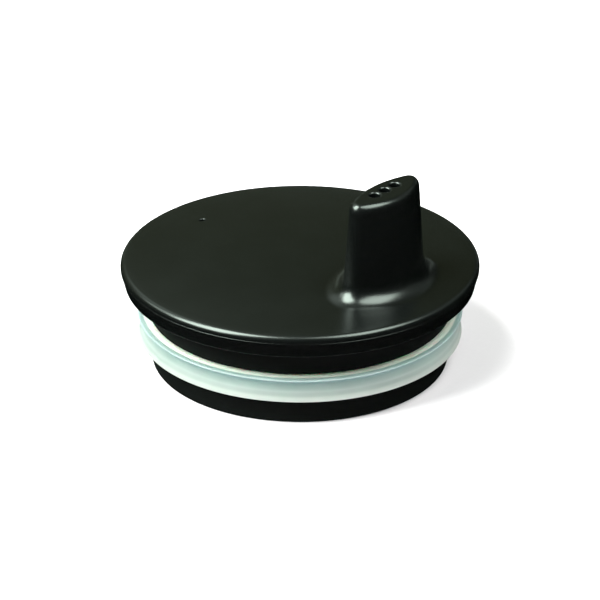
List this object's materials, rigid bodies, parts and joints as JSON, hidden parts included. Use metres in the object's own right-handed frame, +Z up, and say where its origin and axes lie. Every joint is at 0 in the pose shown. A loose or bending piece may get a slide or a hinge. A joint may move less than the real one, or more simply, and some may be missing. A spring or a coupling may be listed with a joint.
{
  "type": "drinking spout lid",
  "caption": "Round moulded drinking lid for a child's cup, with a hollow tapered spout, drinking holes, an air hole, and a plug below that carries a soft seal ring.",
  "frame": {"origin": "centre of the plug's bottom edge, which is also where the lid stands on a table", "axes": "+Z up along the lid's axis, +X from the lid's axis towards the spout"},
  "size_m": [0.082, 0.082, 0.0482],
  "materials": {
    "lid": "black moulded polypropylene with a satin shine",
    "seal": "milky translucent silicone, smooth"
  },
  "bodies": {
    "root": {"lid_body": "lid", "seal_ring": "seal"}
  },
  "joints": []
}
